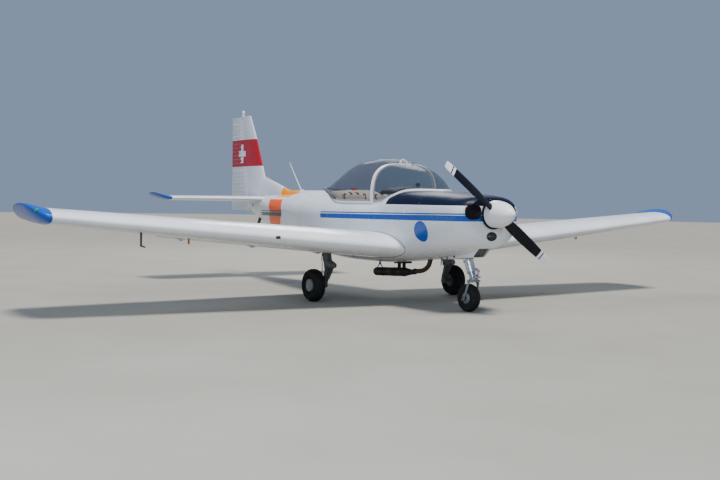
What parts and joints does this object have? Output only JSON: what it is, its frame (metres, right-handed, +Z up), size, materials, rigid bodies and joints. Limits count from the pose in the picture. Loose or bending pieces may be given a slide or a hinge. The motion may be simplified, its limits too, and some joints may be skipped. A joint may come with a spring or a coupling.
{
  "type": "light aircraft",
  "caption": "Low-wing light training aircraft with a tricycle gear, a sliding bubble canopy and side-by-side seats; the surfaces, wheels, canopy and propeller move.",
  "frame": {"origin": "on the ground under the middle of the aircraft's bounding box: half-way between spinner tip and rudder, and half-way between the wing tips", "axes": "+X forward to the propeller, +Y to the left (port) wing tip, +Z up"},
  "size_m": [7.5, 9.75, 2.8004],
  "materials": {
    "white_paint": "gloss",
    "white_tail_paint": "gloss",
    "white_composite": "gloss",
    "blue_composite": "gloss",
    "frame_white": "gloss",
    "black_paint": "satin",
    "spinner_white": "gloss",
    "engine_grey": "satin",
    "gear_grey": "satin",
    "rim_grey": "satin",
    "bright_steel": "satin",
    "sooty_steel": "matte",
    "tyre_black": "matte",
    "clear_glazing": "gloss",
    "lamp_glass": "gloss",
    "black_trim": "matte",
    "beige_trim": "matte",
    "beige_leather": "satin"
  },
  "bodies": {
    "airframe": {"fuselage_shell": "white_paint", "spine_fairing": "white_tail_paint", "cowling_upper": "white_composite", "cowling_lower": "white_composite", "engine_block": "engine_grey", "wing_left": "white_paint", "wing_right": "white_paint", "wing_tip_left": "blue_composite", "wing_tip_right": "blue_composite", "tailplane_left": "white_tail_paint", "tailplane_right": "white_tail_paint", "tailplane_tip_left": "blue_composite", "tailplane_tip_right": "blue_composite", "fin": "white_tail_paint", "fin_top_light": "lamp_glass", "canopy_track_left": "bright_steel", "canopy_track_right": "bright_steel", "windshield_glass": "clear_glazing", "windshield_frame": "frame_white", "instrument_panel": "black_trim", "rear_shelf": "beige_trim", "centre_console": "black_trim", "seat_left": "beige_leather", "seat_right": "beige_leather", "stick_left": "black_trim", "stick_right": "black_trim", "main_leg_left": "gear_grey", "main_leg_right": "gear_grey", "nose_leg": "bright_steel", "exhaust": "sooty_steel", "antenna": "white_composite", "tail_skid": "black_paint", "pitot_tube": "bright_steel", "landing_light": "lamp_glass"},
    "propeller_and_spinner": {"propeller": "black_paint", "spinner": "spinner_white"},
    "canopy": {"canopy_glass": "clear_glazing", "canopy_frame": "frame_white"},
    "left_main_wheel": {"main_left_wheel": "rim_grey", "main_left_tyre": "tyre_black"},
    "right_main_wheel": {"main_right_wheel": "rim_grey", "main_right_tyre": "tyre_black"},
    "nose_fork_body": {"nose_fork": "frame_white"},
    "nose_wheel_body": {"nose_wheel": "rim_grey", "nose_tyre": "tyre_black"},
    "rudder_body": {"rudder": "white_tail_paint"},
    "left_elevator": {"elevator_left": "white_tail_paint"},
    "right_elevator": {"elevator_right": "white_tail_paint"},
    "left_aileron": {"aileron_left": "white_paint"},
    "right_aileron": {"aileron_right": "white_paint"},
    "left_flap": {"flap_left": "white_paint"},
    "right_flap": {"flap_right": "white_paint"}
  },
  "joints": [
    {"name": "propeller_spin", "type": "hinge", "parent": "airframe", "child": "propeller_and_spinner", "pos_m": [3.468, 0, 1.175], "axis": [1, 0, 0], "continuous": true},
    {"name": "canopy_slide", "type": "slide", "parent": "airframe", "child": "canopy", "axis": [-1, 0, 0], "range_m": [0, 0.64]},
    {"name": "left_wheel_spin", "type": "hinge", "parent": "airframe", "child": "left_main_wheel", "pos_m": [1.18, 1.125, 0.21], "axis": [0, 1, 0], "continuous": true},
    {"name": "right_wheel_spin", "type": "hinge", "parent": "airframe", "child": "right_main_wheel", "pos_m": [1.18, -1.125, 0.21], "axis": [0, 1, 0], "continuous": true},
    {"name": "rudder_hinge", "type": "hinge", "parent": "airframe", "child": "rudder_body", "pos_m": [-3, 0, 1.1], "axis": [-0.2195, 0, 0.9756], "range_deg": [-28, 28]},
    {"name": "nose_steer", "type": "hinge", "parent": "airframe", "child": "nose_fork_body", "pos_m": [3.05, 0, 0.38], "axis": [-0.4246, 0, 0.9054], "range_deg": [-20, 20]},
    {"name": "nose_wheel_spin", "type": "hinge", "parent": "nose_fork_body", "child": "nose_wheel_body", "pos_m": [2.96, 0, 0.168], "axis": [0, 1, 0], "continuous": true},
    {"name": "left_elevator_hinge", "type": "hinge", "parent": "airframe", "child": "left_elevator", "pos_m": [-2.862, 0.9, 1.3], "axis": [0, 1, 0], "range_deg": [-20, 25]},
    {"name": "right_elevator_hinge", "type": "hinge", "parent": "airframe", "child": "right_elevator", "pos_m": [-2.862, -0.9, 1.3], "axis": [0, 1, 0], "range_deg": [-20, 25]},
    {"name": "left_aileron_hinge", "type": "hinge", "parent": "airframe", "child": "left_aileron", "pos_m": [0.98605, 3.062, 0.92493], "axis": [0.0592, 0.9943, 0.0886], "range_deg": [-17, 17]},
    {"name": "right_aileron_hinge", "type": "hinge", "parent": "airframe", "child": "right_aileron", "pos_m": [0.98605, -3.062, 0.92493], "axis": [-0.0592, 0.9943, -0.0886], "range_deg": [-17, 17]},
    {"name": "left_flap_hinge", "type": "hinge", "parent": "airframe", "child": "left_flap", "pos_m": [0.87234, 0.622, 0.58176], "axis": [-0.0561, -0.9936, -0.0982], "range_deg": [-10, 25]},
    {"name": "right_flap_hinge", "type": "hinge", "parent": "airframe", "child": "right_flap", "pos_m": [0.87234, -0.622, 0.58176], "axis": [0.0561, -0.9936, 0.0982], "range_deg": [-10, 25]}
  ],
  "couplings": [
    {"joint": "nose_steer", "follows": "rudder_hinge", "ratio": -0.7},
    {"joint": "right_elevator_hinge", "follows": "left_elevator_hinge", "ratio": 1},
    {"joint": "right_aileron_hinge", "follows": "left_aileron_hinge", "ratio": -1},
    {"joint": "right_flap_hinge", "follows": "left_flap_hinge", "ratio": 1}
  ]
}
